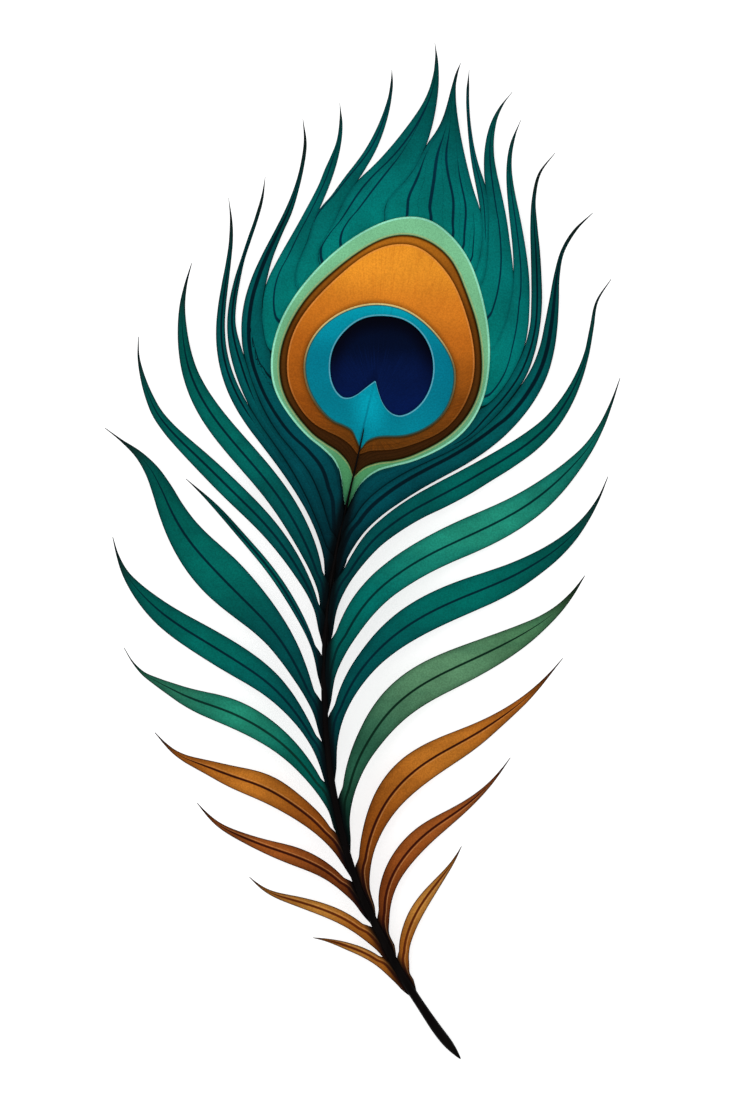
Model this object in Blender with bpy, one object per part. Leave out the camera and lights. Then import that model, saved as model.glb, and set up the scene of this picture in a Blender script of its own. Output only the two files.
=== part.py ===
"""A peacock tail feather lying on a table: a bowed shaft, loose barbs down both sides of it, a crown of
barbs round the eye, and the five nested zones of the eye.

Outlines and sizes are in millimetres and are turned into metres as each mesh or curve is made. +Z is up,
+Y runs from the quill to the crown, and +X is on the right of a viewer who looks down with the crown
away from them. The feather is placed with its box centred on the origin and its underside at z = 0."""

import math

import bmesh
import bpy
import numpy as np

MM = 0.001

# Driving sizes
GAP = 0.3  # kept between pieces that touch
SEAM_INSET = 0.28  # each side of a seam between two curved edges of the crown
BARB_THICKNESS = 0.45
BARB_CAMBER = 0.09  # rise of the midrib over the edges, as a share of the barb's width
LEAST_CAMBER = 0.03
ROOT_WIDTH = 0.5  # least width of a barb beside the shaft
TIP_WIDTH = 0.16
EYE_OUTLINE_POINTS = 46
LOOSE_ROWS = 18
CROWN_ROWS = 19

# How a loose barb leaves the shaft, arches, touches the table and curls up again
TOUCH_DOWN = 0.68  # share of the barb's length where its underside meets the table
ARCH = 1.6
TIP_CURL = 4.2

# The shaft's axis from the quill's tip to the eye: x, y, height, diameter
SHAFT = [
    (24.5, -126.8, 0.45, 0.4),
    (23.6, -125.5, 1.05, 1.7),
    (21.6, -123.2, 1.42, 2.7),
    (18.6, -119.4, 1.65, 2.8),
    (15.0, -114.0, 2.1, 2.4),
    (8.7, -104.0, 3.4, 2.4),
    (4.2, -95.0, 4.8, 2.3),
    (-0.6, -85.0, 6.2, 2.1),
    (-3.9, -75.0, 7.4, 1.9),
    (-6.3, -65.0, 8.2, 1.85),
    (-8.9, -48.0, 8.7, 1.75),
    (-9.6, -32.0, 7.9, 1.7),
    (-8.9, -16.0, 5.9, 1.65),
    (-7.0, -2.0, 3.7, 1.45),
    (-4.9, 8.0, 2.2, 1.0),
    (-3.3, 15.0, 1.65, 0.6),
    (-1.3, 23.5, 1.5, 0.5),
    (0.3, 31.0, 1.4, 0.3),
]

# Loose barbs from the quill upwards: x, y and width at stations from the root to the tip
LEFT_BARBS = [
    [(9.6, -108.3, 0.9), (7.5, -105.7, 1.7), (4.7, -102.8, 2.2), (0.1, -100.0, 2.2), (-4.9, -98.2, 1.6),
     (-9.5, -96.8, 0.6), (-12.4, -96.1, 0.1)],
    [(5.4, -100.4, 0.9), (2.4, -96.9, 2.2), (-3, -92.5, 3.1), (-10, -89.3, 3.1), (-18, -86.9, 2.1),
     (-24.5, -84.3, 0.8), (-28.3, -81.1, 0.1)],
    [(0.1, -89.2, 0.9), (-3.1, -85.0, 2.2), (-9.3, -79.5, 3.7), (-16.9, -76.0, 4.5), (-24, -73.7, 3.4),
     (-30.5, -71.1, 2.1), (-36.5, -67.7, 1.0), (-41.3, -62.6, 0.1)],
    [(-4.4, -77.6, 0.9), (-6.6, -73.8, 2.0), (-10.5, -68.6, 4.0), (-17, -63.2, 5.7), (-24.4, -58.9, 6.7),
     (-32.4, -56.2, 5.4), (-39.9, -53.4, 3.1), (-46.4, -50.4, 1.2), (-51.8, -45.0, 0.1)],
    [(-6.3, -68.0, 0.9), (-9.0, -61.8, 1.9), (-13.3, -55.0, 3.5), (-18.5, -49.2, 4.9), (-26, -43.6, 6.4),
     (-34.4, -39.6, 6.7), (-42.9, -36.7, 4.9), (-50.4, -33.0, 2.3), (-55.5, -29.8, 0.7), (-59.6, -23.9, 0.1)],
    [(-9.1, -57.0, 0.8), (-10.6, -51.0, 1.7), (-13.4, -45.0, 2.6), (-17.4, -39.1, 4.1), (-23.5, -32.7, 6.1),
     (-31.5, -27.2, 7.4), (-40.5, -21.8, 7.2), (-49, -16.3, 5.9), (-55.5, -10.3, 3.6), (-59.8, -4.3, 1.3),
     (-62.3, 3.7, 0.1)],
    [(-10.5, -45.0, 0.8), (-11.5, -40.0, 1.6), (-13.5, -34.8, 2.8), (-17.0, -27.6, 5.0), (-22.3, -19.5, 7.3),
     (-29.3, -12.1, 10.1), (-36.4, -5.2, 11.2), (-42.9, 2.1, 9.2), (-47.5, 9.6, 6.7), (-50.9, 17.0, 4.6),
     (-55.2, 23.5, 2.2), (-60.0, 27.6, 0.6), (-64.3, 30.9, 0.1)],
    [(-10.9, -30.5, 0.7), (-11.9, -25.2, 0.95), (-16.3, -15.0, 1.75), (-22.6, -5.2, 1.9), (-31.0, 4.8, 1.6),
     (-37, 11.5, 1.15), (-41, 15.4, 0.5), (-44.1, 18.2, 0.1)],
    [(-10.6, -19.5, 0.8), (-11.6, -13.8, 1.4), (-14.3, -7.5, 2.6), (-18.8, -0.1, 3.8), (-24.8, 7.4, 4.6),
     (-32.3, 14.9, 5.0), (-40.1, 22.5, 4.5), (-47, 29.2, 3.4), (-51.6, 35.0, 2.5), (-54.3, 41.5, 1.5),
     (-55.9, 48.5, 0.5), (-55.9, 53.6, 0.1)],
    [(-9.7, -15.5, 0.8), (-10.4, -9.5, 1.7), (-12.3, -2.6, 3.5), (-15.7, 5.0, 5.0), (-20.5, 13.0, 5.7),
     (-27.3, 21.6, 6.0), (-34.6, 30.1, 5.8), (-40, 37.8, 5.0), (-43.4, 45.5, 3.7), (-45, 54.5, 2.4),
     (-44.9, 63, 1.1), (-42.7, 72.0, 0.1)],
]
RIGHT_BARBS = [
    [(11.4, -107.2, 0.9), (10.6, -103.0, 1.9), (10.3, -99.5, 2.5), (11.2, -95.0, 3.1), (13.4, -90.0, 3.4),
     (16.8, -85.0, 2.7), (20.7, -80.0, 1.3), (23.3, -76.0, 0.5), (24.6, -73.4, 0.1)],
    [(6.2, -98.5, 0.9), (5.6, -93.0, 1.9), (5.5, -87.3, 3.2), (7.2, -81.0, 4.4), (10.5, -75.7, 5.2),
     (15.8, -70.4, 5.0), (22.1, -66.0, 3.4), (27.8, -61.7, 1.8), (32.8, -56.7, 0.7), (36.8, -51.3, 0.1)],
    [(1.7, -88.5, 0.9), (0.6, -82.5, 2.2), (0.8, -75.5, 3.4), (2.6, -68.8, 4.9), (6.4, -61.4, 7.1),
     (11.8, -55.5, 8.4), (19.2, -50.6, 7.8), (27.2, -46.3, 5.8), (34.5, -41.5, 3.3), (41, -36.3, 1.7),
     (46.6, -30.4, 0.5), (49.8, -26.5, 0.1)],
    [(-3.6, -71.5, 0.9), (-4.1, -65.0, 1.9), (-3.4, -59.0, 3.2), (-1.5, -52.7, 4.6), (2.0, -46.0, 6.4),
     (7.0, -39.3, 8.2), (14.3, -33.4, 9.3), (23, -29.0, 9.1), (32, -24.9, 7.6), (40, -20.7, 5.3),
     (46.4, -16.4, 2.8), (51.2, -11.8, 1.3), (55.4, -5.9, 0.1)],
    [(-7.2, -53.5, 0.8), (-7.1, -46.5, 1.9), (-5.8, -39.8, 3.0), (-2.9, -33.1, 4.4), (1.9, -26.4, 5.7),
     (8.1, -20.5, 7.4), (16.5, -15.2, 8.5), (27, -10.6, 8.3), (36.3, -6.8, 7.0), (44.3, -2.3, 5.1),
     (50.2, 2.1, 3.5), (55, 7.3, 1.8), (58.5, 12.7, 0.7), (61.1, 18.8, 0.1)],
    [(-8.3, -37.0, 0.8), (-7.8, -30.4, 2.2), (-5.7, -23.8, 4.0), (-2.5, -17.4, 5.8), (2.6, -10.6, 7.0),
     (9.5, -4.9, 7.8), (18.4, 0.3, 8.4), (28, 4.7, 8.8), (37, 9.1, 8.0), (44.7, 14.2, 6.6),
     (51.7, 20.6, 4.2), (56.6, 26.4, 2.3), (60.4, 33.2, 1.1), (64.1, 43.3, 0.1)],
    [(-7.9, -20.5, 0.7), (-7.0, -14.0, 1.3), (-5.3, -8.8, 2.3), (-2.5, -3.8, 3.3), (1.7, 2.0, 4.5),
     (6.6, 6.4, 5.2), (13.5, 11.0, 5.8), (21.8, 15.3, 6.3), (31.5, 20.8, 5.8), (41.6, 27.3, 5.1),
     (48.0, 33.4, 3.8), (52.3, 40.2, 2.6), (55.3, 47.4, 1.4), (57.3, 57.0, 0.9), (58.7, 63.2, 0.5),
     (61.9, 68.0, 0.1)],
]

# Seams where two neighbours of the crown lie edge to edge, before they part, from the root upwards
SEAM_1_2 = [(-10.2, 4.4), (-14.5, 14.5), (-20.7, 25.0)]
SEAM_2_3 = [(-8.1, 5.5), (-9.5, 10.3), (-13.6, 20.2), (-21.3, 30), (-26.8, 40.3), (-29.5, 48.4)]
SEAM_3_4 = [(-23.8, 52), (-24.8, 56.5), (-25.0, 62.5)]
SEAM_4_5 = [(-16.9, 67.5), (-15.9, 72.8), (-13.6, 78.3), (-11.8, 84)]
SEAM_5_6 = [(-10.9, 75.7), (-8.2, 80.3), (-5.5, 86), (-2.9, 90.6)]
SEAM_6_7 = [(5.7, 86.6), (8, 90), (12, 94.6), (15.4, 100.8)]
SEAM_7_8 = [(29.2, 74), (29.9, 79), (29.8, 82.6)]
SEAM_8_9 = [(30.5, 69.3), (31.1, 74), (31.3, 80), (31.1, 89)]
SEAM_9_10 = [(32.6, 51), (34.5, 54.7), (36.2, 59.5), (37.1, 63.6)]
SEAM_10_11 = [(31.2, 37.1), (34, 39.8), (36.5, 43.3), (38.2, 46.4)]
SEAM_11_12 = [(-1.4, 9.8), (6, 17.0), (14, 21.7), (24, 26.6), (32.5, 33.1)]

# Crown barbs from left to right: (left edge, right edge), each from the root or the eye to the tip
CROWN_BARBS = [
    ([(-8.9, -6.0), (-10.3, 0.8), (-12.7, 7.4), (-17.2, 15.4), (-24.1, 25.1), (-30.7, 34.1), (-35.1, 43.6),
      (-36.7, 54.5), (-35.6, 65), (-33.7, 75), (-33.0, 82), (-33.5, 88.2)],
     [(-8.4, -6.0), (-8.4, -1.8)] + SEAM_1_2
     + [(-27.2, 34.4), (-32.1, 43.7), (-34.4, 54), (-33.9, 64), (-32.9, 72), (-32.5, 80), (-33.4, 88.2)]),
    ([(-8.3, -0.8)] + SEAM_1_2
     + [(-26.9, 33.9), (-31.5, 43.7), (-33.8, 54), (-33.1, 64), (-30.9, 72), (-27.9, 80), (-25.4, 88),
        (-24.4, 93.6)],
     [(-7.7, -0.8), (-7.5, 2.2)] + SEAM_2_3
     + [(-31.7, 56.5), (-31.1, 65), (-29.2, 74), (-26.6, 82.5), (-25, 88), (-24.3, 93.6)]),
    ([(-7.3, 3.2)] + SEAM_2_3
     + [(-30.4, 56), (-29, 65), (-24.8, 75), (-20.1, 84), (-16.3, 93.5), (-14.7, 102), (-15, 108)],
     [(-6.8, 3.2), (-5.7, 8.5), (-5.4, 15), (-7.2, 22.8), (-12.7, 28), (-18.9, 34.9), (-22.6, 41.6),
      (-23.2, 47.4)] + SEAM_3_4
     + [(-24.0, 68), (-20.9, 77.5), (-17.2, 86), (-15.1, 94.5), (-14.1, 103), (-14.9, 108)]),
    ([(-22.9, 49.8)] + SEAM_3_4
     + [(-24.0, 66.6), (-20.9, 73.3), (-17.1, 80), (-12.7, 88), (-10.7, 92), (-9.1, 96),
        (-7.0, 100.5), (-5.8, 106), (-5.8, 112)],
     [(-16.6, 65.0)] + SEAM_4_5 + [(-10.0, 88), (-7.6, 94), (-5.9, 100), (-5.2, 106), (-5.7, 112)]),
    ([(-16.4, 65.3)] + SEAM_4_5
     + [(-8.9, 87.6), (-4.9, 93), (-1.0, 98), (2.7, 104), (5.3, 110), (6.9, 116), (7.2, 120.4)],
     [(-11.2, 71.5)] + SEAM_5_6
     + [(-0.5, 94.2), (3, 100), (5.4, 106), (6.9, 112), (7.4, 117), (7.3, 120.4)]),
    ([(-10.9, 71.8)] + SEAM_5_6
     + [(2.3, 96), (7.8, 102), (12.5, 108), (15.3, 112.3), (17.2, 117), (18.1, 122), (17.9, 127.1)],
     [(5.4, 82.7)] + SEAM_6_7 + [(17.2, 106), (18.4, 112), (18.9, 118), (18.6, 123), (18.0, 127.1)]),
    ([(5.6, 82.7)] + SEAM_6_7 + [(18.8, 106), (21.1, 112), (22.8, 118), (24.4, 122)],
     [(28.0, 69.8)] + SEAM_7_8
     + [(28.3, 88), (26.5, 94.5), (25.0, 101), (23.7, 108), (23.1, 114), (23.4, 118.5), (24.5, 122)]),
    ([(28.2, 69.4)] + SEAM_7_8 + [(28.8, 89), (27.4, 96), (26.4, 104), (26, 112), (26.5, 120.4)],
     [(29.5, 66.3)] + SEAM_8_9 + [(29.4, 95), (28, 100), (26.8, 107.5), (26.3, 114), (26.6, 120.4)]),
    ([(29.7, 65.8)] + SEAM_8_9 + [(30.4, 95.5), (30.9, 103), (32.6, 108.3), (35, 112), (37.2, 114.7)],
     [(31.8, 49.6)] + SEAM_9_10
     + [(37.4, 68.5), (36.7, 76), (35.6, 84), (33.9, 92), (32.6, 99), (32.7, 104.5), (34.1, 110),
        (37.3, 114.6)]),
    ([(31.9, 49.0)] + SEAM_9_10
     + [(37.8, 70), (37.3, 79), (36.2, 89), (36.0, 96), (37.1, 102.5), (39.3, 107.6)],
     [(29.6, 36.0)] + SEAM_10_11
     + [(40.4, 52), (41.4, 60), (41.4, 68), (40.5, 76), (38.8, 85), (37.3, 92.5), (37.1, 99.5),
        (39.4, 107.5)]),
    ([(-5.3, 1.2), (-4.1, 8.6), (-2.0, 14.3), (1.5, 18.8), (7, 20.9), (14, 23), (20, 25.8), (25, 29.4),
      (28.7, 34.3)] + SEAM_10_11
     + [(41, 52.8), (42.1, 62), (42.0, 72), (41.8, 82), (42.4, 89), (44.2, 95), (47.9, 99.6)],
     [(-4.8, 1.2)] + SEAM_11_12
     + [(36.8, 38.1), (40.8, 44), (43.5, 52), (44.7, 60), (44.6, 70), (43.8, 80), (43.1, 88), (44.9, 95.6),
        (48, 99.5)]),
    ([(-6.6, -5.6), (-5.3, -0.6)] + SEAM_11_12
     + [(38.4, 40), (42.9, 47.5), (45.4, 57), (47.3, 67), (49.7, 75.8), (53, 80.7), (57.3, 84.6)],
     [(-6.0, -6.0), (-3.4, -0.8), (1.7, 6.3), (8, 11.4), (16, 16.5), (26, 22.0), (34.4, 28), (41.7, 36),
      (46.1, 44), (48.4, 54), (49.0, 64), (50.0, 74), (53.3, 80.2), (57.4, 84.5)]),
]
CROWN_COLUMNS = [2, 2, 2, 3, 3, 4, 6, 2, 4, 3, 2, 2]  # faces across each crown barb

# Outlines of the eye's zones, each from its lowest point clockwise and back
EYE_OUTLINES = [
    [(-4.2, 10.2), (-5.0, 14.5), (-5.5, 19), (-7.6, 23.4), (-12.5, 27.7), (-18.5, 34.3), (-22.2, 41.2),
     (-22.9, 48), (-21.2, 56), (-17.3, 63.5), (-11.5, 70.7), (-4.5, 77), (3, 81.5), (10, 83.6), (16, 83.1),
     (21.5, 79.5), (26.3, 73.3), (29.6, 64.5), (31.4, 55.5), (31.6, 46.5), (29.6, 37), (25, 29.8), (18, 25),
     (10, 21.9), (3.5, 20.1), (-0.6, 16.8), (-2.9, 12.8), (-4.2, 10.2)],
    [(-2.4, 18.5), (-3.2, 21.2), (-5.8, 24.7), (-11, 28.2), (-16, 33.4), (-19.5, 39), (-20.9, 45.5),
     (-20.5, 50.5), (-18.3, 56.8), (-14, 63.6), (-7, 70.5), (0, 75.7), (6, 78.6), (11.5, 79.2), (17, 77.4),
     (22, 73.1), (25.6, 65.7), (28.4, 57.5), (29.7, 49.5), (29.1, 40.5), (26, 33.8), (21, 28.7), (14.5, 25),
     (8.5, 22.9), (3, 22.1), (0, 20.8), (-2.4, 18.5)],
    [(-1.2, 24.3), (-2.6, 26.2), (-6, 28.8), (-11.5, 31.6), (-15.8, 36.2), (-18.3, 41.5), (-18.9, 47.5),
     (-17.3, 54.8), (-12.8, 62), (-6, 68.9), (1, 74.3), (8, 76.8), (13.5, 76.2), (18.2, 72.9), (22, 68.2),
     (25.5, 60.2), (27.6, 51.5), (27.6, 43.5), (24.8, 35.8), (20, 30.4), (13.5, 27.3), (6.5, 25.5),
     (1.5, 25.2), (-1.2, 24.3)],
    [(-0.6, 25.4), (-1.5, 27.3), (-3, 30.1), (-6.5, 31.8), (-10.5, 35.1), (-13.9, 41), (-14.7, 47.5),
     (-12.3, 54), (-7.5, 58.7), (-2, 61.3), (4, 62.1), (10.5, 60.7), (16, 57), (20.5, 51.7), (23, 46),
     (22.8, 40), (20, 34), (14.9, 30.1), (9, 28.5), (3.8, 28.3), (1.0, 27.2), (-0.6, 25.4)],
    [(3.1, 42.7), (1, 41.2), (-2, 39), (-4.5, 38.5), (-6.9, 40.6), (-8.2, 45.5), (-7.4, 50.8), (-4.3, 55.4),
     (0, 58.3), (5, 59), (10.5, 57.9), (14.9, 54.3), (17.3, 49), (17.4, 43.5), (15.4, 38.3), (12, 35),
     (8.6, 34.1), (5.7, 36), (4.1, 39.3), (3.1, 42.7)],
]
EYE_CENTRE = np.array([4.0, 50.0])

# Colours as people read them, 0 to 255, and roughness
LOOKS = {
    "shaft_black": ((22, 14, 12), 0.35),
    "barb_teal": ((0, 112, 102), 0.6),
    "barb_sage": ((62, 132, 104), 0.62),
    "barb_bronze": ((165, 96, 28), 0.6),
    "barb_straw": ((178, 122, 52), 0.62),
    "eye_green": ((112, 186, 136), 0.6),
    "eye_brown": ((104, 56, 12), 0.6),
    "eye_orange": ((220, 136, 32), 0.6),
    "eye_blue": ((0, 126, 150), 0.5),
    "eye_navy": ((2, 14, 58), 0.45),
}
LEFT_LOOKS = ["barb_straw", "barb_straw", "barb_bronze", "barb_bronze", "barb_sage"] + ["barb_teal"] * 5
RIGHT_LOOKS = ["barb_straw", "barb_bronze", "barb_bronze", "barb_sage"] + ["barb_teal"] * 3
# (node, look, thickness) from the rim inwards
EYE_ZONES = [
    ("eye_rim", "eye_green", 0.9),
    ("eye_band", "eye_brown", 0.75),
    ("eye_field", "eye_orange", 0.85),
    ("eye_disc", "eye_blue", 0.75),
    ("eye_heart", "eye_navy", 0.85),
]


def clear_scene():
    for obj in list(bpy.data.objects):
        bpy.data.objects.remove(obj, do_unlink=True)


def linear(value):
    share = value / 255
    return share / 12.92 if share <= 0.04045 else ((share + 0.055) / 1.055) ** 2.4


def make_materials():
    made = {}
    for name, (colour, roughness) in LOOKS.items():
        material = bpy.data.materials.new(name)
        material.use_nodes = True
        shader = material.node_tree.nodes["Principled BSDF"]
        shader.inputs["Base Color"].default_value = (*map(linear, colour), 1)
        shader.inputs["Roughness"].default_value = roughness
        shader.inputs["Metallic"].default_value = 0
        made[name] = material
    return made


def spline(points, count):
    """`count` points, evenly spaced, on a natural cubic spline through the given ones."""
    points = np.array(points, float)
    steps = np.linalg.norm(np.diff(points[:, :2], axis=0), axis=1)
    along = np.concatenate([[0], np.cumsum(steps)])
    system = np.eye(len(points))
    target = np.zeros_like(points)
    slopes = np.diff(points, axis=0) / steps[:, None]
    for i in range(1, len(points) - 1):
        system[i, i - 1 : i + 2] = steps[i - 1], 2 * (steps[i - 1] + steps[i]), steps[i]
        target[i] = 6 * (slopes[i] - slopes[i - 1])
    bend = np.linalg.solve(system, target)
    at = np.linspace(0, along[-1], count)
    i = np.clip(np.searchsorted(along, at, side="right") - 1, 0, len(steps) - 1)
    step = steps[i, None]
    after = (at[:, None] - along[i, None]) / step
    before = 1 - after
    straight = before * points[i] + after * points[i + 1]
    curved = (before**3 - before) * bend[i] + (after**3 - after) * bend[i + 1]
    return straight + curved * step**2 / 6


def right_normals(line):
    """Unit vectors in plan, square to the line and on its right."""
    ahead = np.gradient(line[:, :2], axis=0)
    ahead /= np.linalg.norm(ahead, axis=1, keepdims=True)
    return np.stack([ahead[:, 1], -ahead[:, 0]], axis=1)


SHAFT_LINE = spline(SHAFT, 220)
SHAFT_RIGHT = right_normals(SHAFT_LINE)
RIM_LINE = spline(EYE_OUTLINES[0], 400)


def beside_shaft(points, side, room):
    """The points, each moved sideways off the shaft where it has less than `room`. Side is 1 or -1."""
    moved = points.copy()
    for k, point in enumerate(points):
        i = np.argmin(np.linalg.norm(SHAFT_LINE[:, :2] - point, axis=1))
        if i in (0, len(SHAFT_LINE) - 1):
            continue
        reach = (point - SHAFT_LINE[i, :2]) @ SHAFT_RIGHT[i] * side
        short = SHAFT_LINE[i, 3] / 2 + room - reach
        if short > 0:
            moved[k] = point + SHAFT_RIGHT[i] * side * short
    return moved


def outside_eye(points):
    """The points, each moved straight out from the eye's centre where it is inside the rim."""
    spokes = RIM_LINE - EYE_CENTRE
    order = np.argsort(np.arctan2(spokes[:, 0], spokes[:, 1]))
    bearings = np.arctan2(spokes[:, 0], spokes[:, 1])[order]
    reaches = np.linalg.norm(spokes, axis=1)[order]
    out = points - EYE_CENTRE
    reach = np.linalg.norm(out, axis=-1)
    bearing = np.arctan2(out[..., 0], out[..., 1])
    least = np.interp(bearing, bearings, reaches, period=2 * math.pi) + GAP
    return EYE_CENTRE + out * (np.maximum(reach, least) / reach)[..., None]


def shaft_height(point):
    i = np.argmin(np.linalg.norm(SHAFT_LINE[:, :2] - point, axis=1))
    return SHAFT_LINE[i, 2]


def barb_height(along, root, touch, arch, curl):
    """Height of a barb's upper face over the table at a share of its length."""
    fall = min(along / touch, 1)
    rise = max((along - touch) / (1 - touch), 0)
    lift = root * (0.5 + 0.5 * math.cos(math.pi * fall))
    return BARB_THICKNESS + lift + arch * math.sin(math.pi * fall) + curl * rise**1.7


def add_object(name, data, look, materials, collection):
    obj = bpy.data.objects.new(name, data)
    data.materials.append(materials[look])
    collection.objects.link(obj)
    return obj


def add_barb(name, plan, heights, look, materials, collection):
    """One blade. `plan` holds a row of points across it for each step from its root to its tip."""
    rows, columns = len(plan) - 1, len(plan[0]) - 1
    shape = bmesh.new()
    bmesh.ops.create_grid(shape, x_segments=columns, y_segments=rows, size=0.5)
    for vertex in shape.verts:
        column = round((vertex.co.x + 0.5) * columns)
        row = round((vertex.co.y + 0.5) * rows)
        width = np.linalg.norm(plan[row][-1] - plan[row][0])
        crest = math.sin(math.pi * column / columns)
        x, y = plan[row][column]
        z = heights[row] + crest * min(max(width * BARB_CAMBER, LEAST_CAMBER), 0.5)
        vertex.co = (x * MM, y * MM, z * MM)
    under = bmesh.ops.extrude_face_region(shape, geom=shape.faces[:], use_keep_orig=True)["geom"]
    lowered = [part for part in under if isinstance(part, bmesh.types.BMVert)]
    bmesh.ops.translate(shape, verts=lowered, vec=(0, 0, -BARB_THICKNESS * MM))
    bmesh.ops.recalc_face_normals(shape, faces=shape.faces[:])
    data = bpy.data.meshes.new(name)
    shape.to_mesh(data)
    shape.free()
    data.shade_smooth()
    data.set_sharp_from_angle(angle=math.radians(40))
    add_object(name, data, look, materials, collection)


def rows_between(left, right, columns):
    across = np.linspace(0, 1, columns + 1)[None, :, None]
    return left[:, None] * (1 - across) + right[:, None] * across


def loose_barb_rows(stations, side):
    line = spline(stations, LOOSE_ROWS + 1)
    half = np.maximum(line[:, 2:], TIP_WIDTH) / 2
    right = right_normals(line)
    edges = [line[:, :2] - right * half, line[:, :2] + right * half]
    inner, outer = (0, 1) if side > 0 else (1, 0)
    edges[inner] = beside_shaft(edges[inner], side, GAP)
    edges[outer] = beside_shaft(edges[outer], side, GAP + ROOT_WIDTH)
    return rows_between(*edges, 2)


def crown_barb_rows(left, right, columns):
    left, right = spline(left, CROWN_ROWS + 1), spline(right, CROWN_ROWS + 1)
    across = right - left
    width = np.linalg.norm(across, axis=1, keepdims=True)
    inset = across / width * np.clip((width - ROOT_WIDTH) / 2, 0, SEAM_INSET)
    left, right = left + inset, right - inset
    from_shaft = left[0][1] < EYE_OUTLINES[0][0][1]
    if from_shaft:
        side = 1 if left[-1][0] > 0 else -1
        rooms = [GAP, GAP + ROOT_WIDTH][::side]
        left = beside_shaft(left, side, rooms[0])
        right = beside_shaft(right, side, rooms[1])
    rows = rows_between(left, right, columns)
    if not from_shaft:
        bulge = outside_eye(rows[0]) - rows[0]
        fade = np.linspace(1, 0, CROWN_ROWS + 1)[:, None, None] ** 4
        rows = rows + bulge * fade
    return outside_eye(rows)


def add_loose_barbs(materials, collection):
    sides = [("left", -1, LEFT_BARBS, LEFT_LOOKS), ("right", 1, RIGHT_BARBS, RIGHT_LOOKS)]
    for word, side, barbs, looks in sides:
        for number, (stations, look) in enumerate(zip(barbs, looks), 1):
            rows = loose_barb_rows(stations, side)
            root = shaft_height(rows[0].mean(axis=0))
            touch = TOUCH_DOWN + 0.05 * math.sin(1.7 * number)
            curl = TIP_CURL + 1.3 * math.sin(2.4 * number + side)
            share = np.linspace(0, 1, LOOSE_ROWS + 1)
            heights = [barb_height(v, root - BARB_THICKNESS, touch, ARCH, curl) for v in share]
            add_barb(f"barb_{word}_{number:02}", rows, heights, look, materials, collection)


def add_crown_barbs(materials, collection):
    for number, ((left, right), columns) in enumerate(zip(CROWN_BARBS, CROWN_COLUMNS), 1):
        rows = crown_barb_rows(left, right, columns)
        starts_at_shaft = left[0][1] < EYE_OUTLINES[0][0][1]
        root = shaft_height(rows[0].mean(axis=0)) - BARB_THICKNESS if starts_at_shaft else 0.35
        touch = 0.42
        curl = 3.4 + 1.1 * math.sin(2.1 * number)
        share = np.linspace(0, 1, CROWN_ROWS + 1)
        heights = [barb_height(v, root, touch, 0, curl) for v in share]
        add_barb(f"crown_barb_{number:02}", rows, heights, "barb_teal", materials, collection)


def add_shaft(materials, collection):
    data = bpy.data.curves.new("shaft", "CURVE")
    data.dimensions = "3D"
    data.bevel_depth = MM / 2
    data.bevel_resolution = 2
    data.use_fill_caps = True
    points = spline(SHAFT, 38)
    track = data.splines.new("POLY")
    track.points.add(len(points) - 1)
    for point, (x, y, z, diameter) in zip(track.points, points):
        point.co = (x * MM, y * MM, z * MM, 1)
        point.radius = diameter
    add_object("shaft", data, "shaft_black", materials, collection)


def add_outline(data, loop):
    track = data.splines.new("POLY")
    track.points.add(len(loop) - 1)
    track.use_cyclic_u = True
    for point, (x, y) in zip(track.points, loop):
        point.co = (x * MM, y * MM, 0, 1)


def eye_loop(outline, outward):
    """The outline as a closed loop of points, each moved outward by the given distance."""
    loop = spline(outline, EYE_OUTLINE_POINTS + 1)[:-1]
    ahead = np.roll(loop, -1, axis=0) - np.roll(loop, 1, axis=0)
    ahead /= np.linalg.norm(ahead, axis=1, keepdims=True)
    return loop - np.stack([ahead[:, 1], -ahead[:, 0]], axis=1) * outward


def add_eye(materials, collection):
    for index, (name, look, thickness) in enumerate(EYE_ZONES):
        data = bpy.data.curves.new(name, "CURVE")
        data.dimensions = "2D"
        data.fill_mode = "BOTH"
        data.extrude = thickness / 2 * MM
        add_outline(data, eye_loop(EYE_OUTLINES[index], -GAP / 2))
        if index + 1 < len(EYE_ZONES):
            add_outline(data, eye_loop(EYE_OUTLINES[index + 1], GAP / 2))
        zone = add_object(name, data, look, materials, collection)
        zone.location.z = thickness / 2 * MM


def centre_feather(collection):
    """Hangs every piece on one empty, set so that the feather's box stands centred on the origin."""
    anchor = bpy.data.objects.new("feather_origin", None)
    pieces = list(collection.objects)
    collection.objects.link(anchor)
    bpy.context.view_layer.update()
    graph = bpy.context.evaluated_depsgraph_get()
    corners = []
    for piece in pieces:
        shape = piece.evaluated_get(graph)
        mesh = shape.to_mesh()
        corners += [shape.matrix_world @ vertex.co for vertex in mesh.vertices]
        shape.to_mesh_clear()
        piece.parent = anchor
    corners = np.array(corners)
    low, high = corners.min(axis=0), corners.max(axis=0)
    middle = (low + high) / 2
    anchor.location = (-middle[0], -middle[1], -low[2])


def main():
    clear_scene()
    collection = bpy.data.collections.new("peacock_feather")
    bpy.context.scene.collection.children.link(collection)
    materials = make_materials()
    add_shaft(materials, collection)
    add_loose_barbs(materials, collection)
    add_crown_barbs(materials, collection)
    add_eye(materials, collection)
    centre_feather(collection)


main()
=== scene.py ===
"""Looks of the peacock feather: fine blades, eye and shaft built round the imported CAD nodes.

Each blade is lofted again, much finer, from the edges of its CAD node: u runs from -1 on its left edge to
1 on its right edge and v from 0 at its root to 1 at its tip. Lengths are in millimetres until a mesh is
made. The feather lies on a pale floor and the camera looks straight down on it."""

import math

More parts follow.
